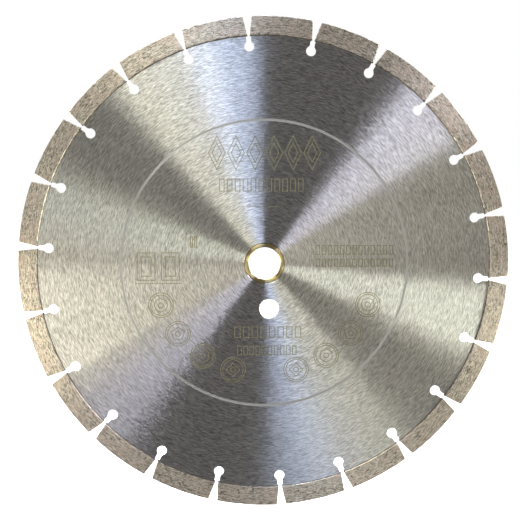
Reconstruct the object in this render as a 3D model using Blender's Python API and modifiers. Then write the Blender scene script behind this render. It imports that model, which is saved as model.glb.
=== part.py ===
"""Segmented diamond blade for concrete and masonry, 12 in across, with a reducer bush.

All sizes are in metres. The blade stands upright: it spins about Y, its front face looks
towards -Y, X is to the right and Z is up. The origin is the centre of the arbor bore,
halfway through the blade's thickness.

A flat steel core carries 22 sintered segments on its rim. Each segment is a separate piece,
laser welded to the core, and a keyhole slot in the core parts it from the next one. A brass
reducer bush sits in the core's bore and pushes out along the axis.
"""
import math

import bmesh
import bpy

# Driving dimensions of the whole blade
BLADE_RADIUS = 0.1524
SEGMENT_COUNT = 22
BLADE_TURN = math.radians(4.144)

# Core
CORE_THICKNESS = 0.0022
SLOT_WIDTH = 0.0031
KEYHOLE_RADIUS = 0.0031
KEYHOLE_CENTRE_RADIUS = 0.13405
KEYHOLE_FILLET = 0.0015
ARBOR_SEAT_RADIUS = 0.0127
ARBOR_SEAT_CHAMFER = 0.0002

# Drive pin hole: 15/32 in across, 1 1/8 in from the spin axis
PIN_HOLE_RADIUS = 0.00595
PIN_HOLE_CHAMFER = 0.0004
PIN_CENTRE_RADIUS = 0.028575
PIN_ANGLE = math.radians(-84.34)

# Segments
SEGMENT_HEIGHT = 0.0115
SEGMENT_THICKNESS = 0.0032
GAP_AT_FOOT = 0.0017
GAP_AT_TIP = 0.00565
WELD_GAP = 0.0001

# Reducer bush
BUSH_BORE_RADIUS = 0.0100
BUSH_THICKNESS = 0.0021
BUSH_CLEARANCE = 0.00004
BUSH_BORE_CHAMFER = 0.0004
BUSH_EDGE_CHAMFER = 0.00025

# Facets of the round stretches
RIM_FACETS_PER_PITCH = 12
RIM_FACETS_FROM_MIDDLE = 5
KEYHOLE_FACETS = 16
FILLET_FACETS = 3
BORE_FACETS = 72
PIN_HOLE_FACETS = 40

# Worked out from the driving dimensions
PITCH = 2 * math.pi / SEGMENT_COUNT
FOOT_RADIUS = BLADE_RADIUS - SEGMENT_HEIGHT
CORE_RADIUS = FOOT_RADIUS - WELD_GAP
FIRST_SEGMENT_ANGLE = math.pi / 2 - BLADE_TURN
CUTTER_OVERRUN = 0.002
SCREW_MERGE_DISTANCE = 0.00001
CURVE_WELD_DISTANCE = 0.000001

OBJECT_NAME = "diamond_blade"


def clear_scene():
    for obj in list(bpy.data.objects):
        bpy.data.objects.remove(obj, do_unlink=True)


def new_collection(name):
    collection = bpy.data.collections.new(name)
    bpy.context.scene.collection.children.link(collection)
    return collection


def metal(name, color, roughness, metallic):
    """A Principled material of one colour."""
    material = bpy.data.materials.new(name)
    material.use_nodes = True
    shader = material.node_tree.nodes["Principled BSDF"]
    shader.inputs["Base Color"].default_value = (*color, 1.0)
    shader.inputs["Roughness"].default_value = roughness
    shader.inputs["Metallic"].default_value = metallic
    material.diffuse_color = (*color, 1.0)
    return material


def polar(radius, angle):
    return (radius * math.cos(angle), radius * math.sin(angle))


def turned(point, angle):
    """The flat point turned about the spin axis by the angle."""
    x, y = point
    cos, sin = math.cos(angle), math.sin(angle)
    return (x * cos - y * sin, x * sin + y * cos)


def arc(centre, radius, start, end, facets):
    """Points along an arc, both ends included."""
    points = []
    for i in range(facets + 1):
        x, y = polar(radius, start + (end - start) * i / facets)
        points.append((centre[0] + x, centre[1] + y))
    return points


def rim_arc(radius, end_angle):
    """Points of a rim arc about angle 0, from -end_angle to end_angle.

    The inner points sit on the same angles at every radius, so the core's rim and the
    segments' feet have facets that lie parallel.
    """
    step = PITCH / RIM_FACETS_PER_PITCH
    inner = [i * step for i in range(-RIM_FACETS_FROM_MIDDLE, RIM_FACETS_FROM_MIDDLE + 1)]
    return [polar(radius, angle) for angle in [-end_angle, *inner, end_angle]]


def slot_outline():
    """One keyhole slot about angle 0: down one side, round the keyhole and up the other side."""
    side = SLOT_WIDTH / 2
    reach = math.sqrt((KEYHOLE_RADIUS + KEYHOLE_FILLET) ** 2 - (side + KEYHOLE_FILLET) ** 2)
    opening = math.atan2(side + KEYHOLE_FILLET, reach)
    keyhole = (KEYHOLE_CENTRE_RADIUS, 0.0)
    fillet_x = KEYHOLE_CENTRE_RADIUS + reach
    fillet_y = side + KEYHOLE_FILLET
    first_fillet = arc(
        (fillet_x, -fillet_y), KEYHOLE_FILLET, math.pi / 2, math.pi - opening, FILLET_FACETS
    )
    round_end = arc(keyhole, KEYHOLE_RADIUS, -opening, opening - 2 * math.pi, KEYHOLE_FACETS)
    last_fillet = arc(
        (fillet_x, fillet_y), KEYHOLE_FILLET, opening - math.pi, -math.pi / 2, FILLET_FACETS
    )
    return first_fillet + round_end[1:-1] + last_fillet


def core_outline():
    """The core's rim with its slots, counterclockwise from segment_01's arc."""
    end_angle = PITCH / 2 - math.asin(SLOT_WIDTH / 2 / CORE_RADIUS)
    rim = rim_arc(CORE_RADIUS, end_angle)
    slot = slot_outline()
    outline = []
    for i in range(SEGMENT_COUNT):
        middle = FIRST_SEGMENT_ANGLE + i * PITCH
        outline += [turned(point, middle) for point in rim]
        outline += [turned(point, middle + PITCH / 2) for point in slot]
    return outline


def segment_outline():
    """One segment about angle 0. Its ends lean in, so the gap to the next one widens outwards."""
    foot_end = PITCH / 2 - math.asin(GAP_AT_FOOT / 2 / FOOT_RADIUS)
    tip_end = PITCH / 2 - math.asin(GAP_AT_TIP / 2 / BLADE_RADIUS)
    foot = rim_arc(FOOT_RADIUS, foot_end)
    tip = rim_arc(BLADE_RADIUS, tip_end)
    return tip + foot[::-1]


def plate_curve(name, outline, thickness):
    """A filled flat outline, extruded to the thickness about its own plane."""
    curve = bpy.data.curves.new(name, "CURVE")
    curve.dimensions = "2D"
    curve.fill_mode = "BOTH"
    curve.extrude = thickness / 2
    spline = curve.splines.new("POLY")
    spline.points.add(len(outline) - 1)
    for point, (x, y) in zip(spline.points, outline):
        point.co = (x, y, 0.0, 1.0)
    spline.use_cyclic_u = True
    return curve


def stand_up(obj, angle=0.0):
    """Turn a plate drawn in XY upright, facing -Y, then round the spin axis by the angle."""
    obj.rotation_euler = (math.pi / 2, -angle, 0.0)


def turned_object(name, profile, facets, closed):
    """A solid of revolution about local Z, from a profile of (radius, z) points.

    A closed profile makes a ring. An open one starts and ends on the axis.
    """
    edges = [(i, i + 1) for i in range(len(profile) - 1)]
    if closed:
        edges.append((len(profile) - 1, 0))
    mesh = bpy.data.meshes.new(name)
    mesh.from_pydata([(radius, 0.0, z) for radius, z in profile], edges, [])
    obj = bpy.data.objects.new(name, mesh)
    screw = obj.modifiers.new("turn", "SCREW")
    screw.axis = "Z"
    screw.steps = facets
    screw.render_steps = facets
    screw.use_merge_vertices = True
    screw.merge_threshold = SCREW_MERGE_DISTANCE
    screw.use_smooth_shade = True
    return obj


def hole_cutter(name, radius, chamfer, facets, centre, cutters):
    """A cutter for a round hole through the core, wider by the chamfer at both faces."""
    face = CORE_THICKNESS / 2
    beyond = face + CUTTER_OVERRUN
    flare = radius + chamfer + CUTTER_OVERRUN
    profile = [
        (0.0, beyond),
        (flare, beyond),
        (radius, face - chamfer),
        (radius, chamfer - face),
        (flare, -beyond),
        (0.0, -beyond),
    ]
    cutter = turned_object(name, profile, facets, closed=False)
    x, z = centre
    cutter.location = (x, 0.0, z)
    stand_up(cutter)
    cutter.hide_render = True
    cutter.display_type = "WIRE"
    cutters.objects.link(cutter)
    return cutter


def cut(obj, cutter):
    boolean = obj.modifiers.new(cutter.name, "BOOLEAN")
    boolean.operation = "DIFFERENCE"
    boolean.solver = "EXACT"
    boolean.object = cutter


def mesh_from_curve(obj, collection):
    """Replace a curve object by a mesh object of the same shape, place and name."""
    graph = bpy.context.evaluated_depsgraph_get()
    mesh = bpy.data.meshes.new_from_object(obj.evaluated_get(graph))
    name = obj.name
    matrix = obj.matrix_world.copy()
    bpy.data.objects.remove(obj, do_unlink=True)
    work = bmesh.new()
    work.from_mesh(mesh)
    bmesh.ops.remove_doubles(work, verts=work.verts, dist=CURVE_WELD_DISTANCE)
    bmesh.ops.recalc_face_normals(work, faces=work.faces)
    work.to_mesh(mesh)
    work.free()
    made = bpy.data.objects.new(name, mesh)
    made.matrix_world = matrix
    collection.objects.link(made)
    return made


def build_core(parts, cutters):
    """The slotted steel disc, with the bush's seat and the drive pin hole cut through it."""
    drawn = bpy.data.objects.new("core", plate_curve("core", core_outline(), CORE_THICKNESS))
    parts.objects.link(drawn)
    stand_up(drawn)
    bpy.context.view_layer.update()
    core = mesh_from_curve(drawn, parts)
    seat = hole_cutter(
        "arbor_seat_cutter",
        ARBOR_SEAT_RADIUS,
        ARBOR_SEAT_CHAMFER,
        BORE_FACETS,
        (0.0, 0.0),
        cutters,
    )
    pin_hole = hole_cutter(
        "drive_pin_cutter",
        PIN_HOLE_RADIUS,
        PIN_HOLE_CHAMFER,
        PIN_HOLE_FACETS,
        polar(PIN_CENTRE_RADIUS, PIN_ANGLE),
        cutters,
    )
    cut(core, seat)
    cut(core, pin_hole)
    core.data.materials.append(metal("core_steel", (0.60, 0.59, 0.57), 0.28, 1.0))
    return core


def build_segments(parts):
    """The sintered segments, numbered clockwise from the one nearest the top."""
    matrix_metal = metal("segment_matrix", (0.36, 0.33, 0.27), 0.55, 0.85)
    outline = plate_curve("segment", segment_outline(), SEGMENT_THICKNESS)
    outline.materials.append(matrix_metal)
    for i in range(SEGMENT_COUNT):
        segment = bpy.data.objects.new(f"segment_{i + 1:02d}", outline)
        stand_up(segment, FIRST_SEGMENT_ANGLE - i * PITCH)
        parts.objects.link(segment)


def build_bush(parts):
    """The brass ring that takes the core's bore down to the arbor, chamfered on all four edges."""
    outer = ARBOR_SEAT_RADIUS - BUSH_CLEARANCE
    face = BUSH_THICKNESS / 2
    profile = [
        (BUSH_BORE_RADIUS + BUSH_BORE_CHAMFER, face),
        (outer - BUSH_EDGE_CHAMFER, face),
        (outer, face - BUSH_EDGE_CHAMFER),
        (outer, BUSH_EDGE_CHAMFER - face),
        (outer - BUSH_EDGE_CHAMFER, -face),
        (BUSH_BORE_RADIUS + BUSH_BORE_CHAMFER, -face),
        (BUSH_BORE_RADIUS, BUSH_BORE_CHAMFER - face),
        (BUSH_BORE_RADIUS, face - BUSH_BORE_CHAMFER),
    ]
    bush = turned_object("bush", profile, BORE_FACETS, closed=True)
    stand_up(bush)
    bush.data.materials.append(metal("bush_brass", (0.66, 0.50, 0.26), 0.25, 1.0))
    parts.objects.link(bush)


def main():
    clear_scene()
    parts = new_collection(OBJECT_NAME)
    cutters = new_collection(OBJECT_NAME + "_cutters")
    build_core(parts, cutters)
    build_segments(parts)
    build_bush(parts)


main()
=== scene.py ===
import math

import bmesh
import bpy
import numpy as np
from mathutils import Matrix, Vector, noise


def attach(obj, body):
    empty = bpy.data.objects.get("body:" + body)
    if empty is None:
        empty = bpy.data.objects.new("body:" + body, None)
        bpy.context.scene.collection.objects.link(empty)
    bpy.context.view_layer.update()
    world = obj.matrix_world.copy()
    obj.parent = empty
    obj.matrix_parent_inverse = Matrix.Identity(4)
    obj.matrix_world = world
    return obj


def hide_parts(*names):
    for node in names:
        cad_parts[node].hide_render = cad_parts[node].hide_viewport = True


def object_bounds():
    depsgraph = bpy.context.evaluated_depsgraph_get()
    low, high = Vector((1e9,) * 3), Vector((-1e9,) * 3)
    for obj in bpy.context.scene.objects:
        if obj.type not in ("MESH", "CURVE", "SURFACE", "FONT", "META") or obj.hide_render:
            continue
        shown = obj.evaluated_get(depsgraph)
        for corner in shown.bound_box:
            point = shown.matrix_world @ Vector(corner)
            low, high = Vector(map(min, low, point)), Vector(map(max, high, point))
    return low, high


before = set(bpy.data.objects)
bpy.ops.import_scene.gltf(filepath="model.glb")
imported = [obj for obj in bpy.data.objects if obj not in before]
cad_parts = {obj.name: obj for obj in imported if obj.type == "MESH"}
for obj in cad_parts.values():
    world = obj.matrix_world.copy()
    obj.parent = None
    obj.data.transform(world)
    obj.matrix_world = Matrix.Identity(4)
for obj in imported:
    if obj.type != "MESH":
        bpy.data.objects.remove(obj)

# Everything is in metres, in the CAD frame: the blade spins about Y and its front faces -Y.
MM = 0.001
CAD_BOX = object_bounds()

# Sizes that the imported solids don't give directly, the same as in the CAD source
SLOT_WIDTH = 3.1 * MM
KEYHOLE_RADIUS = 3.1 * MM
KEYHOLE_CENTRE_RADIUS = 134.05 * MM
KEYHOLE_FILLET = 1.5 * MM
PIN_HOLE_RADIUS = 5.95 * MM
PIN_CENTRE_RADIUS = 28.575 * MM
PIN_ANGLE = math.radians(-84.34)

# Facets of the core's round edges
FILLET_FACETS = 6
KEYHOLE_FACETS = 48
RIM_FACETS_PER_SEGMENT = 24
SEAT_FACETS = 288
PIN_HOLE_FACETS = 128
GROOVE_FACETS = 360
GROOVE_PROFILE_STEPS = 10

# Edges and surface relief of the core
CORE_EDGE_ROUNDING = 0.12 * MM
PIN_HOLE_CHAMFER = 0.3 * MM
SEAT_CHAMFER = 0.2 * MM
GROOVE_RADIUS = 89.0 * MM
GROOVE_WIDTH = 1.6 * MM
GROOVE_DEPTH = 0.05 * MM
CUTTER_OVERLAP = 1.0 * MM

# One straight scratch: its two ends as (radius, angle), its depth and its width
SCRATCH_START = (131.2 * MM, math.radians(142.2))
SCRATCH_STOP = (101.0 * MM, math.radians(139.6))
SCRATCH_DEPTH = 0.015 * MM
SCRATCH_WIDTH = 0.32 * MM

# A face whose normal's Y part is above this is one of the plate's flat faces
FLAT_ENOUGH = 0.99999
SHARP_ANGLE = math.radians(50)

# Bush: how far its faces curve down from their middle to each edge, and its facets
BUSH_CROWN = 0.35 * MM
BUSH_QUARTER_FACETS = 9
BUSH_FACETS = 256
BUSH_MERGE_DISTANCE = 0.001 * MM

# Material slots of the core, after slot 0 for its ground faces
ROLLED, ETCHED = 1, 2

# Etched marks of the front face
ETCH_DEPTH = 0.03 * MM
ETCH_WIDTH = 0.5 * MM
# Rows of outlined bars, in mm: x and z of the middle, count, pitch, width and height
ETCHED_ROWS = [
    (-2, 48.7, 11, 4.9, 2.9, 7.5),
    (-66, -1.8, 2, 15, 11, 17),
    (-66, -1.8, 2, 15, 6, 12),
    (-44, 13.5, 2, 2.6, 1.3, 6.5),
    (56, 8.3, 13, 3.8, 2.2, 5.5),
    (56, 0.3, 13, 3.8, 2.2, 4.5),
    (2, -43, 8, 5.4, 3.4, 6.6),
    (1.5, -54.5, 10, 3.8, 2.3, 5.6),
]
# Etched lines, in mm: x and z of the middle, and length
ETCHED_LINES = [(-66, -12.4, 29), (-1.7, 35.3, 19)]
ETCHED_LINE_WIDTH = 0.35 * MM
LOZENGE_COUNT = 6
LOZENGE_HEIGHT_ABOVE_AXIS = 68.6 * MM
LOZENGE_PITCH = 11.8 * MM
LOZENGE_WIDTH = 10.4 * MM
LOZENGE_HEIGHT = 21 * MM
LOZENGE_INNER_SHARE = 0.56

# Etched badges: rings on a circle about the spin axis, the same on both sides of straight down
BADGE_RADIUS = 7.7 * MM
BADGE_BORDER = 1.3 * MM
BADGE_CIRCLE_RADIUS = 69.5 * MM
BADGE_FIRST_ANGLE = math.radians(16.5)
BADGE_STEP = math.radians(17.2)
BADGE_SIDES = (4, 6, 5, 8)
BADGE_SHAPE_SHARE = 0.55
BADGE_DOT_SHARE = 0.2
BADGE_FACETS = 56
BADGE_INNER_FACETS = 48
BADGE_DOT_FACETS = 20

# Weld between the core's rim and a segment's foot
WELD_WIDTH = 0.9 * MM
WELD_HEIGHT = 0.05 * MM
WELD_RIPPLE = 0.02 * MM
WELD_RIPPLE_LENGTH = 0.9 * MM
WELD_BEND = 0.5 * WELD_RIPPLE_LENGTH
WELD_SUNK = 2 * WELD_HEIGHT
WELD_STEPS_PER_RIPPLE = 5
WELD_PROFILE_STEPS = 6

# Segments
SEGMENT_EDGE_ROUNDING = 0.3 * MM
FOOT_BEVEL_HEIGHT = 0.75 * MM
FOOT_BEVEL_DEPTH = 0.22 * MM
SEGMENT_CELL = 0.36 * MM
ROUNDED_END_STOPS = (0.0, 0.35, 0.7)
SEGMENT_SEED = 7
NOISE_OFFSET_REACH = 100.0
SKIN_RELIEF = 0.016 * MM
SKIN_LIMIT = 0.02 * MM
# How fast the skin's noise changes: its lines per radian round the rim, per metre outwards and per metre
# of thickness, and its grain per metre
SKIN_LINE_RATES = (40, 1400, 900)
SKIN_GRAIN_RATE = 1600
PORES_PER_SEGMENT = 90
PORE_SIZES = (0.25 * MM, 0.7 * MM)
PORE_DEPTH = 0.15 * MM
LEAST_PORE_DEPTH_SHARE = 0.3
PORE_STEEPNESS = 2
PORE_ATTRIBUTE = "pore"
GRIT = 1
CRYSTALS_PER_SEGMENT = 36
CRYSTAL_SIZE = 0.22 * MM
CRYSTAL_SIZE_SHARES = (0.7, 1.3)
CRYSTAL_SUNK_SHARE = 0.45

# Grinding strokes: how far they stray from true circles, and the lean along the spin axis that gives
# their shading a direction on the walls of the bores as well
STROKE_SWAY = 0.34
GRAIN_LEAN = 0.2
# How much wider a reflection spreads across the strokes than along them, as Blender's Anisotropy
ACROSS_STROKES = -0.766


# ---------------------------------------------------------------- sizes read from the frame

def ring_size(node):
    """(inner radius, outer radius, half thickness) of a CAD node about the spin axis."""
    points = [vertex.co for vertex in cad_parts[node].data.vertices]
    radii = [math.hypot(point.x, point.z) for point in points]
    return min(radii), max(radii), max(point.y for point in points)


def node_angle(node):
    """The angle of a CAD node's middle about the spin axis, from +X towards +Z."""
    points = [vertex.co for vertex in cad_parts[node].data.vertices]
    return math.atan2(sum(point.z for point in points), sum(point.x for point in points))


SEGMENTS = sorted(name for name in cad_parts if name.startswith("segment_"))
PITCH = 2 * math.pi / len(SEGMENTS)
SEAT_RADIUS, CORE_RADIUS, CORE_FACE = ring_size("core")
BUSH_BORE, BUSH_RADIUS, BUSH_FACE = ring_size("bush")
FOOT_RADIUS, BLADE_RADIUS, SEGMENT_FACE = ring_size(SEGMENTS[0])


# ---------------------------------------------------------------- small geometry helpers

def polar(radius, angle):
    return (radius * math.cos(angle), radius * math.sin(angle))


def turned(point, angle):
    x, z = point
    cos, sin = math.cos(angle), math.sin(angle)
    return (x * cos - z * sin, x * sin + z * cos)


def arc(centre, radius, start, end, facets):
    """Points along an arc, both ends included."""
    points = []
    for i in range(facets + 1):
        x, z = polar(radius, start + (end - start) * i / facets)
        points.append((centre[0] + x, centre[1] + z))
    return points


def regular(centre, radius, sides):
    """The corners of a regular polygon with one of them at its top, counterclockwise."""
    top = math.pi / 2
    return arc(centre, radius, top, top + 2 * math.pi, sides)[:-1]


def oblong(centre, width, height):
    """The corners of an upright rectangle, counterclockwise."""
    x, z = centre
    corners = [(-width, -height), (width, -height), (width, height), (-width, height)]
    return [(x + across / 2, z + up / 2) for across, up in corners]


def offset_outline(outline, distance):
    """A counterclockwise outline moved outwards by a distance, with mitred corners."""
    moved = []
    count = len(outline)
    for i in range(count):
        before, here, after = (Vector(outline[(i + step) % count]) for step in (-1, 0, 1))
        first = (here - before).normalized()
        second = (after - here).normalized()
        outward = Vector((first.y + second.y, -first.x - second.x))
        moved.append(tuple(here + outward * distance / (1 + first.dot(second))))
    return moved


def new_object(name, mesh, *materials):
    obj = bpy.data.objects.new(name, mesh)
    bpy.context.scene.collection.objects.link(obj)
    for material in materials:
        mesh.materials.append(material)
    return obj


def apply_modifiers(obj):
    """Replace the object's mesh by its evaluated mesh."""
    graph = bpy.context.evaluated_depsgraph_get()
    mesh = bpy.data.meshes.new_from_object(obj.evaluated_get(graph), depsgraph=graph)
    obj.modifiers.clear()
    obj.data = mesh


def add_prism(work, outline, front, back, material=0):
    """A closed plate between two Y planes, from a counterclockwise (x, z) outline."""
    near = [work.verts.new((x, front, z)) for x, z in outline]
    far = [work.verts.new((x, back, z)) for x, z in outline]
    faces = [work.faces.new(near), work.faces.new(far[::-1])]
    for i in range(len(outline)):
        j = (i + 1) % len(outline)
        faces.append(work.faces.new((near[j], near[i], far[i], far[j])))
    for face in faces:
        face.material_index = material
    return near, far


def add_ring(work, profile, facets, material=0):
    """A closed ring about the spin axis, from a closed (radius, y) profile."""
    loops = []
    for i in range(facets):
        angle = 2 * math.pi * i / facets
        loop = []
        for radius, y in profile:
            x, z = polar(radius, angle)
            loop.append(work.verts.new((x, y, z)))
        loops.append(loop)
    count = len(profile)
    for i in range(facets):
        this, after = loops[i], loops[(i + 1) % facets]
        for j in range(count):
            k = (j + 1) % count
            face = work.faces.new((this[j], this[k], after[k], after[j]))
            face.material_index = material


def add_frame(work, outline, width, front, back, material):
    """A closed band of constant width along an outline, between two Y planes."""
    loops = []
    for distance, y in ((width, front), (width, back), (-width, back), (-width, front)):
        corners = offset_outline(outline, distance / 2)
        loops.append([work.verts.new((x, y, z)) for x, z in corners])
    for i in range(len(outline)):
        j = (i + 1) % len(outline)
        for this, after in zip(loops, loops[1:] + loops[:1]):
            face = work.faces.new((this[i], this[j], after[j], after[i]))
            face.material_index = material


def finished_mesh(work, name):
    bmesh.ops.recalc_face_normals(work, faces=work.faces)
    mesh = bpy.data.meshes.new(name)
    work.to_mesh(mesh)
    work.free()
    return mesh


def shade_plate(obj):
    """Shade the walls and grooves smooth and the flat front and back flat."""
    obj.data.shade_smooth()
    obj.data.set_sharp_from_angle(angle=SHARP_ANGLE)
    for face in obj.data.polygons:
        if abs(face.normal.y) > FLAT_ENOUGH:
            face.use_smooth = False


# ---------------------------------------------------------------- materials

class Graph:
    """Short calls for building one material's node tree."""

    def __init__(self, name):
        self.material = bpy.data.materials.new(name)
        self.material.use_nodes = True
        self.nodes = self.material.node_tree.nodes
        self.links = self.material.node_tree.links
        self.shader = self.nodes["Principled BSDF"]

    def plug(self, socket, value):
        """Link the socket if the value is an output, or else set it."""
        if isinstance(value, bpy.types.NodeSocket):
            self.links.new(value, socket)
        else:
            socket.default_value = value

    def math(self, operation, *values):
        node = self.nodes.new("ShaderNodeMath")
        node.operation = operation
        for socket, value in zip(node.inputs, values):
            self.plug(socket, value)
        return node.outputs[0]

    def vector(self, operation, *values):
        node = self.nodes.new("ShaderNodeVectorMath")
        node.operation = operation
        for socket, value in zip(node.inputs, values):
            self.plug(socket, value)
        return node.outputs[0]

    def combine(self, x, y, z):
        node = self.nodes.new("ShaderNodeCombineXYZ")
        for socket, value in zip(node.inputs, (x, y, z)):
            self.plug(socket, value)
        return node.outputs[0]

    def object_point(self):
        return self.nodes.new("ShaderNodeTexCoord").outputs["Object"]

    def polar_point(self):
        """(radius from the spin axis, unit vector away from it, its x, its z)."""
        split = self.nodes.new("ShaderNodeSeparateXYZ")
        self.plug(split.inputs[0], self.object_point())
        flat = self.combine(split.outputs[0], 0.0, split.outputs[2])
        length = self.nodes.new("ShaderNodeVectorMath")
        length.operation = "LENGTH"
        self.plug(length.inputs[0], flat)
        ray = self.vector("NORMALIZE", flat)
        parts = self.nodes.new("ShaderNodeSeparateXYZ")
        self.plug(parts.inputs[0], ray)
        return length.outputs["Value"], ray, parts.outputs[0], parts.outputs[2]

    def noise(self, point, scale, detail=2.0, roughness=0.5):
        node = self.nodes.new("ShaderNodeTexNoise")
        self.plug(node.inputs["Vector"], point)
        self.plug(node.inputs["Scale"], scale)
        self.plug(node.inputs["Detail"], detail)
        self.plug(node.inputs["Roughness"], roughness)
        return node.outputs["Fac"]

    def cells(self, point, scale):
        """The distance to the nearest of many scattered points."""
        node = self.nodes.new("ShaderNodeTexVoronoi")
        self.plug(node.inputs["Vector"], point)
        self.plug(node.inputs["Scale"], scale)
        return node.outputs["Distance"]

    def span(self, value, low, high, to_low, to_high, smooth=False):
        """The value mapped from one range to another and held within it."""
        node = self.nodes.new("ShaderNodeMapRange")
        node.interpolation_type = "SMOOTHSTEP" if smooth else "LINEAR"
        for socket, number in zip(node.inputs, (value, low, high, to_low, to_high)):
            self.plug(socket, number)
        return node.outputs[0]

    def mix(self, share, first, second, blend="MIX"):
        """A colour mix. Colours are (r, g, b) or outputs."""
        node = self.nodes.new("ShaderNodeMix")
        node.data_type = "RGBA"
        node.blend_type = blend
        self.plug(node.inputs[0], share)
        for socket, value in ((node.inputs[6], first), (node.inputs[7], second)):
            self.plug(socket, value if isinstance(value, bpy.types.NodeSocket) else (*value, 1.0))
        return node.outputs[2]

    def attribute(self, name):
        node = self.nodes.new("ShaderNodeAttribute")
        node.attribute_name = name
        return node.outputs["Fac"]

    def strokes(self, length, width, detail, roughness):
        """Noise drawn out into strokes that follow circles about the spin axis."""
        split = self.nodes.new("ShaderNodeSeparateXYZ")
        self.plug(split.inputs[0], self.object_point())
        x, y, z = (self.math("DIVIDE", output, length) for output in split.outputs)
        across = self.math("DIVIDE", self.polar_point()[0], width)
        point = self.combine(x, self.math("ADD", across, y), z)
        return self.noise(point, 1.0, detail, roughness)

    def ramp(self, value, low, high):
        """The value mapped from a range to 0 and 1 and held within them."""
        return self.span(value, low, high, 0.0, 1.0)

    def scaled(self, value, factor):
        return self.math("MULTIPLY", value, factor)

    def bump(self, height, strength, distance):
        node = self.nodes.new("ShaderNodeBump")
        self.plug(node.inputs["Height"], height)
        self.plug(node.inputs["Strength"], strength)
        self.plug(node.inputs["Distance"], distance)
        return node.outputs[0]

    def finish(self, **inputs):
        """Set the shader's inputs, named with underscores for spaces, and give the material."""
        for name, value in inputs.items():
            socket = self.shader.inputs[name.replace("_", " ")]
            if isinstance(value, tuple) and len(value) == 3 and socket.type == "RGBA":
                value = (*value, 1.0)
            self.plug(socket, value)
        return self.material

    def finish_glossy(self, **inputs):
        """The same with a Glossy shader in place of the Principled one."""
        self.nodes.remove(self.shader)
        self.shader = self.nodes.new("ShaderNodeBsdfAnisotropic")
        self.links.new(self.shader.outputs[0], self.nodes["Material Output"].inputs["Surface"])
        return self.finish(**inputs)


def ground_steel():
    """Core steel, ground in short strokes that run in circles about the spin axis.

    The strokes spread a reflection widely along the radius and hardly at all around it, which takes a
    plain glossy shader: the Principled one can't be as anisotropic."""
    g = Graph("ground_steel")
    _, ray, ray_x, ray_z = g.polar_point()
    fine = g.strokes(length=3.6 * MM, width=0.42 * MM, detail=3.0, roughness=0.65)
    broad = g.strokes(length=9.0 * MM, width=1.8 * MM, detail=1.0, roughness=0.5)
    wander = g.strokes(length=2.4 * MM, width=0.8 * MM, detail=2.0, roughness=0.7)
    clouds = g.noise(g.object_point(), scale=22.0)
    fine_share = 0.92
    streak = g.math("ADD", g.scaled(fine, fine_share), g.scaled(broad, 1 - fine_share))
    colour = g.mix(g.ramp(streak, 0.38, 0.62), (0.37, 0.36, 0.35), (0.95, 0.94, 0.92))
    tint = g.mix(clouds, (0.97, 0.985, 0.98), (1.0, 0.965, 1.0))
    sway = g.scaled(g.math("SUBTRACT", wander, 0.5), STROKE_SWAY)
    sway_x = g.math("MULTIPLY", g.scaled(ray_z, -1.0), sway)
    sway_z = g.math("MULTIPLY", ray_x, sway)
    lean = g.combine(sway_x, GRAIN_LEAN, sway_z)
    return g.finish_glossy(
        Color=g.mix(1.0, colour, tint, "MULTIPLY"),
        Roughness=g.span(streak, 0.36, 0.64, 0.39, 0.325),
        Anisotropy=ACROSS_STROKES,
        Tangent=g.vector("NORMALIZE", g.vector("ADD", ray, lean)),
        Normal=g.bump(fine, strength=0.25, distance=0.02 * MM),
    )


def plain_steel(name, colour, roughness, anisotropic):
    """Steel without the grinding strokes, for the etched marks, the groove and the scratch."""
    g = Graph(name)
    grain = g.noise(g.object_point(), scale=2600.0)
    contrast = 0.15
    light = tuple(channel * (1 + contrast) for channel in colour)
    dark = tuple(channel * (1 - contrast) for channel in colour)
    return g.finish(
        Base_Color=g.mix(grain, dark, light),
        Metallic=0.95,
        Roughness=roughness,
        Anisotropic=anisotropic,
        Tangent=g.polar_point()[1],
        Normal=g.bump(grain, strength=0.3, distance=0.02 * MM),
    )


def welded_steel():
    """Laser weld: dark steel with straw and blue heat tint along the seam."""
    g = Graph("welded_steel")
    heat = g.noise(g.object_point(), scale=420.0, detail=3.0)
    grain = g.noise(g.object_point(), scale=3200.0)
    straw, blue = (0.085, 0.062, 0.042), (0.09, 0.088, 0.10)
    colour = g.mix(g.ramp(heat, 0.35, 0.65), straw, blue)
    colour = g.mix(g.scaled(grain, 0.35), colour, (0.22, 0.20, 0.18))
    return g.finish(
        Base_Color=colour,
        Metallic=0.9,
        Roughness=g.span(heat, 0.3, 0.7, 0.38, 0.52),
        Normal=g.bump(grain, strength=0.4, distance=0.03 * MM),
    )


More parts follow.
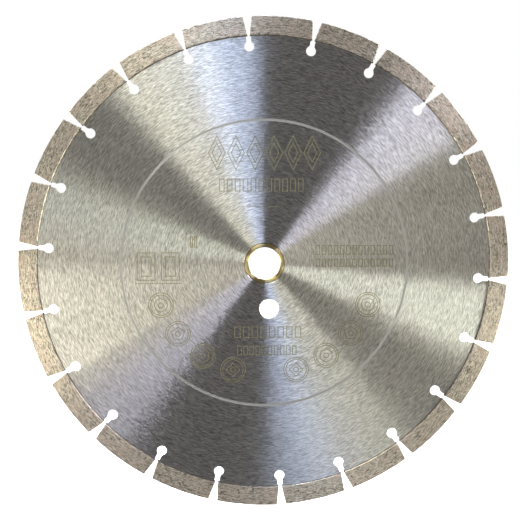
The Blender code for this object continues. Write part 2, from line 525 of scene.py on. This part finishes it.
def sintered_matrix():
    """Segment metal: tan grey, ground along the rim, with grit, and with pores darkened by painted shade.
    """
    g = Graph("sintered_matrix")
    _, ray, _, _ = g.polar_point()
    lines = g.strokes(length=3.0 * MM, width=0.42 * MM, detail=3.0, roughness=0.7)
    grain = g.noise(g.object_point(), scale=1100.0, detail=3.0, roughness=0.65)
    patches = g.noise(g.object_point(), scale=150.0)
    speck = g.span(g.cells(g.object_point(), scale=900.0), 0.10, 0.28, 1.0, 0.0, smooth=True)
    # Each pore's depth, used as the mask of the painted shade in the pores
    hollow = g.span(g.attribute(PORE_ATTRIBUTE), 0.05, 0.5, 0.0, 0.9)
    lines_share = 0.75
    tone = g.math("ADD", g.scaled(lines, lines_share), g.scaled(grain, 1 - lines_share))
    colour = g.mix(g.ramp(tone, 0.40, 0.60), (0.125, 0.102, 0.074), (0.80, 0.72, 0.61))
    coppery, dull, pore_shade = (0.60, 0.47, 0.39), (0.22, 0.19, 0.16), (0.10, 0.08, 0.065)
    colour = g.mix(g.scaled(g.ramp(patches, 0.45, 0.6), 0.35), colour, coppery)
    colour = g.mix(g.scaled(speck, 0.5), colour, dull)
    # Painted shade in the pores: the deeper the pore, the darker its colour
    colour = g.mix(hollow, colour, pore_shade)
    return g.finish(
        Base_Color=colour,
        Metallic=0.85,
        Roughness=g.span(tone, 0.3, 0.7, 0.48, 0.36),
        Anisotropic=0.9,
        Tangent=ray,
        Normal=g.bump(tone, strength=0.4, distance=0.05 * MM),
    )


def diamond_grit():
    """Small yellow-green synthetic diamonds, slightly cloudy."""
    g = Graph("diamond_grit")
    cloud = g.noise(g.object_point(), scale=5000.0, detail=1.0)
    return g.finish(
        Base_Color=g.mix(cloud, (0.46, 0.44, 0.22), (0.72, 0.70, 0.48)),
        Roughness=g.span(cloud, 0.3, 0.7, 0.10, 0.25),
        IOR=2.4,
    )


def turned_brass():
    """Bush brass, with the lathe's fine rings and painted shade darkening its outer edge, at the gap to
    the core.
    """
    g = Graph("turned_brass")
    radius, ray, _, _ = g.polar_point()
    rings = g.strokes(length=14.0 * MM, width=0.16 * MM, detail=2.0, roughness=0.6)
    clouds = g.noise(g.object_point(), scale=300.0, detail=3.0, roughness=0.6)
    tarnished, gap_shade = (0.42, 0.29, 0.13), (0.16, 0.10, 0.05)
    colour = g.mix(g.ramp(rings, 0.3, 0.7), (0.54, 0.40, 0.16), (0.86, 0.74, 0.43))
    colour = g.mix(g.scaled(g.ramp(clouds, 0.4, 0.8), 0.3), colour, tarnished)
    # Painted shade along the outer edge, where the bush meets the core
    edge = g.span(radius, BUSH_RADIUS - 0.4 * MM, BUSH_RADIUS - 0.1 * MM, 0.0, 0.85, smooth=True)
    colour = g.mix(edge, colour, gap_shade)
    return g.finish_glossy(
        Color=colour,
        Roughness=g.span(rings, 0.3, 0.7, 0.36, 0.31),
        Anisotropy=ACROSS_STROKES,
        Tangent=g.vector("ADD", ray, g.combine(0.0, GRAIN_LEAN, 0.0)),
        Normal=g.bump(rings, strength=0.3, distance=0.02 * MM),
    )


def pale_floor():
    """White floor that lights itself a little, so that it stays as pale as the backdrop."""
    g = Graph("pale_floor")
    mottle = g.noise(g.object_point(), scale=3.0, detail=3.0)
    return g.finish(
        Base_Color=g.mix(mottle, (0.90, 0.90, 0.90), (0.93, 0.93, 0.93)),
        Roughness=0.8,
        Emission_Color=(1.0, 1.0, 1.0),
        Emission_Strength=1.0,
    )


# ---------------------------------------------------------------- core

def slot_outline():
    """One keyhole slot about angle 0: down one side, round the keyhole and up the other side."""
    side = SLOT_WIDTH / 2
    reach = math.sqrt((KEYHOLE_RADIUS + KEYHOLE_FILLET) ** 2 - (side + KEYHOLE_FILLET) ** 2)
    opening = math.atan2(side + KEYHOLE_FILLET, reach)
    fillet_x = KEYHOLE_CENTRE_RADIUS + reach
    fillet_z = side + KEYHOLE_FILLET
    centre = (KEYHOLE_CENTRE_RADIUS, 0.0)
    down = arc((fillet_x, -fillet_z), KEYHOLE_FILLET, math.pi / 2, math.pi - opening, FILLET_FACETS)
    keyhole = arc(centre, KEYHOLE_RADIUS, -opening, opening - 2 * math.pi, KEYHOLE_FACETS)
    up = arc((fillet_x, fillet_z), KEYHOLE_FILLET, opening - math.pi, -math.pi / 2, FILLET_FACETS)
    return down + keyhole[1:-1] + up


def core_outline():
    """The core's rim with its keyhole slots, counterclockwise."""
    end_angle = PITCH / 2 - math.asin(SLOT_WIDTH / 2 / CORE_RADIUS)
    rim = arc((0.0, 0.0), CORE_RADIUS, -end_angle, end_angle, RIM_FACETS_PER_SEGMENT)
    slot = slot_outline()
    start = node_angle(SEGMENTS[0])
    outline = []
    for i in range(len(SEGMENTS)):
        middle = start + i * PITCH
        outline += [turned(point, middle) for point in rim]
        outline += [turned(point, middle + PITCH / 2) for point in slot]
    return outline


def add_hole(work, centre, radius, chamfer, facets):
    """A cutter for a round hole through the core, chamfered at both faces."""
    over = 2 * CUTTER_OVERLAP
    flare = radius + chamfer + over
    heights = [
        (flare, -CORE_FACE - over),
        (radius, chamfer - CORE_FACE),
        (radius, CORE_FACE - chamfer),
        (flare, CORE_FACE + over),
    ]
    loops = []
    for ring_radius, y in heights:
        circle = arc(centre, ring_radius, 0.0, 2 * math.pi, facets)[:-1]
        loops.append([work.verts.new((x, y, z)) for x, z in circle])
    work.faces.new(loops[0])
    work.faces.new(loops[-1][::-1])
    for lower, upper in zip(loops, loops[1:]):
        for i in range(facets):
            j = (i + 1) % facets
            work.faces.new((lower[j], lower[i], upper[i], upper[j]))


def add_groove(work, side):
    """A ring cutter whose rounded tip rolls a shallow groove into one face of the core."""
    half = GROOVE_WIDTH / 2
    profile = []
    for i in range(GROOVE_PROFILE_STEPS + 1):
        across = -half + GROOVE_WIDTH * i / GROOVE_PROFILE_STEPS
        depth = GROOVE_DEPTH * (1 - (across / half) ** 2)
        profile.append((GROOVE_RADIUS + across, side * (CORE_FACE - depth)))
    profile.append((GROOVE_RADIUS + half, side * (CORE_FACE + CUTTER_OVERLAP)))
    profile.append((GROOVE_RADIUS - half, side * (CORE_FACE + CUTTER_OVERLAP)))
    add_ring(work, profile, GROOVE_FACETS, ROLLED)


def cutter_planes(depth):
    """The Y planes between which a cutter goes this deep into the front face."""
    return -CORE_FACE - CUTTER_OVERLAP, depth - CORE_FACE


def add_outline(work, outline):
    """One etched line along a closed outline on the front face."""
    add_frame(work, outline, ETCH_WIDTH, *cutter_planes(ETCH_DEPTH), ETCHED)


def add_badges(work):
    """Etched rings with a plain shape in each, in place of pictograms."""
    for side in (-1, 1):
        for i, sides in enumerate(BADGE_SIDES):
            angle = -math.pi / 2 + side * (BADGE_FIRST_ANGLE + i * BADGE_STEP)
            centre = polar(BADGE_CIRCLE_RADIUS, angle)
            add_outline(work, regular(centre, BADGE_RADIUS, BADGE_FACETS))
            add_outline(work, regular(centre, BADGE_RADIUS - BADGE_BORDER, BADGE_INNER_FACETS))
            add_outline(work, regular(centre, BADGE_RADIUS * BADGE_SHAPE_SHARE, sides))
            add_outline(work, regular(centre, BADGE_RADIUS * BADGE_DOT_SHARE, BADGE_DOT_FACETS))


def row_places(x, count, pitch):
    """The x of each thing in a row about x."""
    return [x + (i - (count - 1) / 2) * pitch for i in range(count)]


def add_row(work, x, z, count, pitch, width, height):
    """A row of outlined bars about (x, z), in place of a line of wording."""
    for middle in row_places(x, count, pitch):
        add_outline(work, oblong((middle, z), width, height))


def add_lozenges(work):
    """A row of double outlined lozenges above the bore."""
    for middle in row_places(0.0, LOZENGE_COUNT, LOZENGE_PITCH):
        for share in (1.0, LOZENGE_INNER_SHARE):
            across, up = share * LOZENGE_WIDTH / 2, share * LOZENGE_HEIGHT / 2
            corners = [(across, 0.0), (0.0, up), (-across, 0.0), (0.0, -up)]
            add_outline(work, [(middle + x, LOZENGE_HEIGHT_ABOVE_AXIS + z) for x, z in corners])


def add_line(work, x, z, length):
    """One level etched line with its middle at (x, z)."""
    line = oblong((x, z), length, ETCHED_LINE_WIDTH)
    add_prism(work, line, *cutter_planes(ETCH_DEPTH), ETCHED)


def add_etching(work):
    """Every etched mark of the front face: plain outlined shapes, with no wording."""
    add_badges(work)
    add_lozenges(work)
    for x, z, count, pitch, width, height in ETCHED_ROWS:
        add_row(work, x * MM, z * MM, count, pitch * MM, width * MM, height * MM)
    for x, z, length in ETCHED_LINES:
        add_line(work, x * MM, z * MM, length * MM)


def add_scratch(work):
    """One thin straight scratch, close to radial."""
    start = Vector(polar(*SCRATCH_START))
    stop = Vector(polar(*SCRATCH_STOP))
    along = (stop - start).normalized()
    across = Vector((along.y, -along.x)) * SCRATCH_WIDTH / 2
    corners = [start - across, stop - across, stop + across, start + across]
    outline = [tuple(corner) for corner in corners]
    add_prism(work, outline, *cutter_planes(SCRATCH_DEPTH), ROLLED)


def cut_core(core, work):
    """Take the cutter's solids away from the core. The new faces keep the cutter's material slots."""
    cutter = new_object("cutter", finished_mesh(work, "cutter"), *core.data.materials)
    boolean = core.modifiers.new("cut", "BOOLEAN")
    boolean.operation = "DIFFERENCE"
    boolean.solver = "MANIFOLD"
    boolean.object = cutter
    apply_modifiers(core)
    bpy.data.objects.remove(cutter, do_unlink=True)


def build_core(*materials):
    """The ground plate with its holes, grooves and marks.

    The materials are those of the ground face, the rolled groove and scratch, and the etched marks."""
    work = bmesh.new()
    near, far = add_prism(work, core_outline(), -CORE_FACE, CORE_FACE)
    rims = set()
    for loop in (near, far):
        for i, vertex in enumerate(loop):
            rims.add(work.edges.get((vertex, loop[(i + 1) % len(loop)])))
    bmesh.ops.bevel(
        work, geom=list(rims), offset=CORE_EDGE_ROUNDING, segments=2, profile=0.5, affect="EDGES"
    )
    core = new_object("blade_core", finished_mesh(work, "blade_core"), *materials)
    cutter = bmesh.new()
    pin_centre = polar(PIN_CENTRE_RADIUS, PIN_ANGLE)
    add_hole(cutter, (0.0, 0.0), SEAT_RADIUS, SEAT_CHAMFER, SEAT_FACETS)
    add_hole(cutter, pin_centre, PIN_HOLE_RADIUS, PIN_HOLE_CHAMFER, PIN_HOLE_FACETS)
    for side in (-1, 1):
        add_groove(cutter, side)
    add_etching(cutter)
    add_scratch(cutter)
    cut_core(core, cutter)
    shade_plate(core)
    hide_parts("core")
    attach(core, "blade")


# ---------------------------------------------------------------- welds

def weld_bead(work, middle, half_angle, side):
    """One low rippled bead along the joint, on one face. Its ends and underside are closed."""
    radius = (CORE_RADIUS + FOOT_RADIUS) / 2
    steps = int(2 * half_angle * radius / (WELD_RIPPLE_LENGTH / WELD_STEPS_PER_RIPPLE))
    loops = []
    for i in range(steps + 1):
        share = i / steps
        at_end = i in (0, steps)
        loop = []
        for j in range(WELD_PROFILE_STEPS + 1):
            across = 2 * j / WELD_PROFILE_STEPS - 1
            crown = 1 - across ** 2
            bend = 0.0 if at_end else crown * WELD_BEND
            along = (2 * share - 1) * half_angle * radius - bend
            ripple = WELD_RIPPLE * math.cos(2 * math.pi * share * steps / WELD_STEPS_PER_RIPPLE)
            x, z = polar(radius + across * WELD_WIDTH / 2, middle + along / radius)
            loop.append(work.verts.new((x, side * (CORE_FACE + (WELD_HEIGHT + ripple) * crown), z)))
        for across in (1, -1):
            x, z = polar(radius + across * WELD_WIDTH / 2, middle + (2 * share - 1) * half_angle)
            loop.append(work.verts.new((x, side * (CORE_FACE - WELD_SUNK), z)))
        loops.append(loop)
    count = len(loops[0])
    for this, after in zip(loops, loops[1:]):
        for j in range(count):
            k = (j + 1) % count
            work.faces.new((this[j], this[k], after[k], after[j]))
    work.faces.new(loops[0])
    work.faces.new(loops[-1])


def build_welds(weld_metal):
    work = bmesh.new()
    for node in SEGMENTS:
        foot, _ = segment_half_angles(node)
        for side in (-1, 1):
            weld_bead(work, node_angle(node), foot, side)
    welds = new_object("weld_seams", finished_mesh(work, "weld_seams"), weld_metal)
    welds.data.shade_smooth()
    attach(welds, "blade")


# ---------------------------------------------------------------- segments

def rounded_steps(length):
    """Grid stops along a segment's length, height or thickness, with extra ones in its rounded ends."""
    rounding = SEGMENT_EDGE_ROUNDING
    cells = max(2, round((length - 2 * rounding) / SEGMENT_CELL))
    ends = [rounding * share for share in ROUNDED_END_STOPS]
    inner = [rounding + (length - 2 * rounding) * i / cells for i in range(cells + 1)]
    return ends + inner + [length - stop for stop in reversed(ends)]


def block_surface(work, us, vs, ws, place):
    """A closed box grid over the stops us, vs and ws, with place(u, v, w) giving each point."""
    points = {}

    def vertex(i, j, k):
        if (i, j, k) not in points:
            points[i, j, k] = work.verts.new(place(us[i], vs[j], ws[k]))
        return points[i, j, k]

    last_u, last_v, last_w = len(us) - 1, len(vs) - 1, len(ws) - 1
    for i in range(last_u):
        for j in range(last_v):
            for k in (0, last_w):
                corners = ((i, j), (i + 1, j), (i + 1, j + 1), (i, j + 1))
                work.faces.new([vertex(a, b, k) for a, b in corners])
    for i in range(last_u):
        for k in range(last_w):
            for j in (0, last_v):
                corners = ((i, k), (i + 1, k), (i + 1, k + 1), (i, k + 1))
                work.faces.new([vertex(a, j, c) for a, c in corners])
    for j in range(last_v):
        for k in range(last_w):
            for i in (0, last_u):
                corners = ((j, k), (j + 1, k), (j + 1, k + 1), (j, k + 1))
                work.faces.new([vertex(i, b, c) for b, c in corners])


def rounded(value, length):
    """(the value held between the rounded ends of a length, how far it lies past them)."""
    held = min(max(value, SEGMENT_EDGE_ROUNDING), length - SEGMENT_EDGE_ROUNDING)
    return held, value - held


def segment_place(foot_angle, tip_angle):
    """A function from a point of the straight block to its place on the rim about angle 0.

    The two half angles are the segment's at its foot and at its tip. The block's sizes come too."""
    height = BLADE_RADIUS - FOOT_RADIUS
    length = (foot_angle + tip_angle) * (FOOT_RADIUS + height / 2)
    thickness = 2 * SEGMENT_FACE

    def place(u, v, w):
        along, out_u = rounded(u, length)
        up, out_v = rounded(v, height)
        deep, out_w = rounded(w, thickness)
        out = Vector((out_u, out_v, out_w))
        if out.length > 0:
            out = out.normalized() * SEGMENT_EDGE_ROUNDING
        u, v, w = along + out.x, up + out.y, deep + out.z
        half_angle = foot_angle + (tip_angle - foot_angle) * v / height
        angle = (2 * u / length - 1) * half_angle
        x, z = polar(FOOT_RADIUS + v, angle)
        narrowing = FOOT_BEVEL_DEPTH / SEGMENT_FACE * max(0.0, 1 - v / FOOT_BEVEL_HEIGHT) ** 2
        return (x, (w - SEGMENT_FACE) * (1 - narrowing), z)

    return place, length, height, thickness


def mesh_points(mesh, what):
    """A mesh's vertex coordinates ("co") or normals ("normal") as an array."""
    values = np.empty(len(mesh.vertices) * 3)
    mesh.vertices.foreach_get(what, values)
    return values.reshape(-1, 3)


def roughen(mesh, rng):
    """Push grinding marks, grain and pores into a segment's skin, and keep the pores' depth."""
    points, normals = mesh_points(mesh, "co"), mesh_points(mesh, "normal")
    offset = Vector(rng.uniform(0.0, NOISE_OFFSET_REACH, 3))
    shift = np.zeros(len(points))
    around, outwards, deep = SKIN_LINE_RATES
    for i, (x, y, z) in enumerate(points):
        radius, angle = math.hypot(x, z), math.atan2(z, x)
        line = noise.noise(Vector((angle * around, radius * outwards, y * deep)) + offset)
        grain = noise.noise(Vector((x, y, z)) * SKIN_GRAIN_RATE + offset)
        shift[i] = SKIN_RELIEF * (line + grain)
    centres = points[rng.integers(0, len(points), PORES_PER_SEGMENT)]
    sizes = rng.uniform(*PORE_SIZES, PORES_PER_SEGMENT)
    depths = rng.uniform(LEAST_PORE_DEPTH_SHARE, 1.0, PORES_PER_SEGMENT)
    pores = np.zeros(len(points))
    for centre, size, depth in zip(centres, sizes, depths):
        distance = np.linalg.norm(points - centre, axis=1)
        pores = np.maximum(pores, depth * np.exp(-PORE_STEEPNESS * (distance / size) ** 2))
    shift = np.minimum(shift, SKIN_LIMIT) - PORE_DEPTH * pores
    points += normals * shift[:, None]
    mesh.vertices.foreach_set("co", points.astype(np.float32).ravel())
    mesh.attributes.new(PORE_ATTRIBUTE, "FLOAT", "POINT").data.foreach_set("value", pores)
    mesh.update()


def add_crystals(mesh, rng):
    """Set small eight-sided diamonds into the skin, as closed solids of the grit's material."""
    points, normals = mesh_points(mesh, "co"), mesh_points(mesh, "normal")
    work = bmesh.new()
    work.from_mesh(mesh)
    for index in rng.integers(0, len(points), CRYSTALS_PER_SEGMENT):
        size = CRYSTAL_SIZE * rng.uniform(*CRYSTAL_SIZE_SHARES)
        turn = Matrix.Rotation(rng.uniform(0.0, math.pi), 3, Vector(rng.normal(size=3)).normalized())
        centre = Vector(points[index] - normals[index] * size * CRYSTAL_SUNK_SHARE)
        tips = []
        for axis in range(3):
            for sign in (-1, 1):
                tip = Vector((0.0, 0.0, 0.0))
                tip[axis] = sign * size
                tips.append(work.verts.new(centre + turn @ tip))
        for a in (0, 1):
            for b in (2, 3):
                for c in (4, 5):
                    corners = (tips[a], tips[b], tips[c])
                    face = work.faces.new(corners if (a + b + c) % 2 else corners[::-1])
                    face.material_index = GRIT
    work.to_mesh(mesh)
    work.free()


def segment_half_angles(node):
    """(half angle at the foot, half angle at the tip) of a CAD segment about its middle."""
    middle = node_angle(node)
    spans = {"foot": 0.0, "tip": 0.0}
    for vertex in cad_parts[node].data.vertices:
        x, z = turned((vertex.co.x, vertex.co.z), -middle)
        end = "foot" if math.hypot(x, z) < (FOOT_RADIUS + BLADE_RADIUS) / 2 else "tip"
        spans[end] = max(spans[end], abs(math.atan2(z, x)))
    return spans["foot"], spans["tip"]


def build_segments(matrix_metal, grit):
    rng = np.random.default_rng(SEGMENT_SEED)
    for node in SEGMENTS:
        foot, tip = segment_half_angles(node)
        place, length, height, thickness = segment_place(foot, tip)
        us, vs, ws = (rounded_steps(side) for side in (length, height, thickness))
        work = bmesh.new()
        block_surface(work, us, vs, ws, place)
        turn = Matrix.Rotation(-node_angle(node), 3, "Y")
        bmesh.ops.rotate(work, verts=work.verts, cent=(0, 0, 0), matrix=turn)
        mesh = finished_mesh(work, node)
        roughen(mesh, rng)
        mesh.shade_smooth()
        add_crystals(mesh, rng)
        piece = new_object("diamond_" + node, mesh, matrix_metal, grit)
        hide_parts(node)
        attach(piece, "blade")


# ---------------------------------------------------------------- bush

def build_bush(brass):
    """The turned ring. Each quarter of its profile is part of an ellipse, so its faces are crowned."""
    middle = (BUSH_RADIUS + BUSH_BORE) / 2
    half_width = (BUSH_RADIUS - BUSH_BORE) / 2
    side = BUSH_FACE - BUSH_CROWN
    profile = []
    for quarter in range(4):
        up = side if quarter < 2 else -side
        for i in range(BUSH_QUARTER_FACETS + 1):
            angle = (quarter + i / BUSH_QUARTER_FACETS) * math.pi / 2
            profile.append((middle + half_width * math.cos(angle), up + BUSH_CROWN * math.sin(angle)))
    work = bmesh.new()
    add_ring(work, profile, BUSH_FACETS)
    bmesh.ops.remove_doubles(work, verts=work.verts, dist=BUSH_MERGE_DISTANCE)
    bush = new_object("reducer_bush", finished_mesh(work, "reducer_bush"), brass)
    bush.data.shade_smooth()
    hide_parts("bush")
    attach(bush, "bush")


# ---------------------------------------------------------------- camera, light and floor

# The camera's place was fitted to the photo's rim and slots by least squares, in a separate program.
CAMERA_DISTANCE = 5.8 * BLADE_RADIUS
CAMERA_AZIMUTH = math.radians(-1.9)
CAMERA_ELEVATION = math.radians(4.37)
BLADE_SHARE_OF_FRAME = 0.942
CAMERA_AIM = Vector((-2.8 * MM, 0.0, 2.05 * MM))

# Soft boxes: name, angle about the spin axis of its streak on the ground steel, tilt off that axis of the
# direction halfway between box and camera (both in degrees), distance, width, power and colour.
# A near one lights its own side of the blade more than the far side.
# Most angles, tilts, powers and colours came from a separate program, which fitted candidate lights to the
# photo's brightness by least squares. They were then merged, rounded and partly adjusted.
SOFT_BOXES = [
    ("right", 346.0, 40, 1.2, 0.33, 20.2, (0.97, 1.0, 0.83)),
    ("low_right", 324, 40, 1.2, 0.37, 4.3, (1.0, 0.97, 0.75)),
    ("right_fill", 336, 30, 1.2, 0.12, 0.9, (1.0, 0.99, 0.76)),
    ("upper_right", 39, 40, 1.2, 0.24, 9.0, (0.90, 0.89, 1.0)),
    ("upper_right_fill", 48, 30, 1.2, 0.12, 2.0, (0.85, 0.86, 1.0)),
    ("top", 98.4, 40, 1.1, 0.25, 7.8, (0.62, 0.74, 1.0)),
    ("top_fill", 107, 30, 1.1, 0.12, 2.4, (0.79, 0.88, 1.0)),
    ("upper_left", 116, 40, 1.1, 0.22, 5.8, (0.99, 1.0, 0.89)),
    ("upper_left_fill", 126, 20, 1.2, 0.12, 1.4, (1.0, 1.0, 0.81)),
    ("far_left", 175, 40, 0.7, 0.07, 0.5, (1.0, 0.91, 0.67)),
    ("left", 193, 30, 0.34, 0.155, 0.415, (1.0, 0.96, 0.76)),
    ("low_left", 211, 40, 1.2, 0.20, 4.1, (1.0, 0.95, 0.75)),
]
LENGTH_PER_DISTANCE = 0.42

# What the world lights and mirrors
WORLD_GREY = 0.18
WORLD_TINT = (1.0, 0.97, 0.93)

FLOOR_REACH = 4.0
FLOOR_GAP = 0.5 * MM


def direction(azimuth, elevation):
    """The unit vector from the blade towards a viewer. At azimuth 0 it is -Y."""
    return Vector(
        (
            math.sin(azimuth) * math.cos(elevation),
            -math.cos(azimuth) * math.cos(elevation),
            math.sin(elevation),
        )
    )


def build_camera():
    data = bpy.data.cameras.new("camera")
    data.sensor_width = 36.0
    half_frame = BLADE_RADIUS / BLADE_SHARE_OF_FRAME
    data.lens = data.sensor_width * CAMERA_DISTANCE / (2 * half_frame)
    data.clip_start = 0.01
    camera = bpy.data.objects.new("camera", data)
    bpy.context.scene.collection.objects.link(camera)
    back = direction(CAMERA_AZIMUTH, CAMERA_ELEVATION)
    camera.location = CAMERA_AIM + back * CAMERA_DISTANCE
    camera.rotation_euler = back.to_track_quat("Z", "Y").to_euler()
    bpy.context.scene.camera = camera


def add_soft_box(name, streak, tilt, distance, width, power, colour):
    """Two area lights, one for each face of the blade, whose streak lies at the given angle."""
    streak, tilt = math.radians(streak), math.radians(tilt)
    view = direction(CAMERA_AZIMUTH, CAMERA_ELEVATION)
    x, z = polar(math.sin(tilt), streak)
    half = Vector((x, -math.cos(tilt), z))
    away = 2 * half.dot(view) * half - view
    across = away.cross(Vector((away.x, 0.0, away.z))).normalized()
    along = across.cross(away)
    data = bpy.data.lights.new(name, "AREA")
    data.shape = "RECTANGLE"
    data.size = LENGTH_PER_DISTANCE * distance
    data.size_y = width
    data.energy = power
    data.color = colour
    front = Matrix((along, away.cross(along), away)).transposed().to_4x4()
    front.translation = away * distance
    for side, turn in (("front", 0.0), ("back", math.pi)):
        light = bpy.data.objects.new(side + "_" + name, data)
        bpy.context.scene.collection.objects.link(light)
        light.matrix_world = Matrix.Rotation(turn, 4, "Z") @ front
        light.visible_camera = False


def build_lights():
    for box in SOFT_BOXES:
        add_soft_box(*box)


def build_world():
    """White to the camera and a soft grey to everything else."""
    world = bpy.data.worlds.new("studio")
    bpy.context.scene.world = world
    world.use_nodes = True
    nodes, links = world.node_tree.nodes, world.node_tree.links
    shader = nodes["Background"]
    path = nodes.new("ShaderNodeLightPath")
    mix = nodes.new("ShaderNodeMix")
    mix.data_type = "RGBA"
    links.new(path.outputs["Is Camera Ray"], mix.inputs[0])
    mix.inputs[6].default_value = (*(WORLD_GREY * share for share in WORLD_TINT), 1.0)
    mix.inputs[7].default_value = (1.0, 1.0, 1.0, 1.0)
    links.new(mix.outputs[2], shader.inputs[0])


def build_floor():
    mesh = bpy.data.meshes.new("floor")
    level = CAD_BOX[0].z - FLOOR_GAP
    signs = [(-1, -1), (1, -1), (1, 1), (-1, 1)]
    corners = [(x * FLOOR_REACH, y * FLOOR_REACH, level) for x, y in signs]
    mesh.from_pydata(corners, [], [(0, 1, 2, 3)])
    floor = new_object("floor", mesh, pale_floor())
    # Some of the boxes stand below the floor, so it lets their light through and isn't mirrored
    floor.visible_glossy = False
    floor.visible_shadow = False


bpy.context.scene.view_settings.view_transform = "Standard"
build_core(
    ground_steel(),
    plain_steel("rolled_steel", (0.78, 0.77, 0.75), 0.34, 0.5),
    plain_steel("etched_steel", (0.36, 0.33, 0.21), 0.5, 0.3),
)
build_welds(welded_steel())
build_segments(sintered_matrix(), diamond_grit())
build_bush(turned_brass())
build_camera()
build_lights()
build_world()
build_floor()
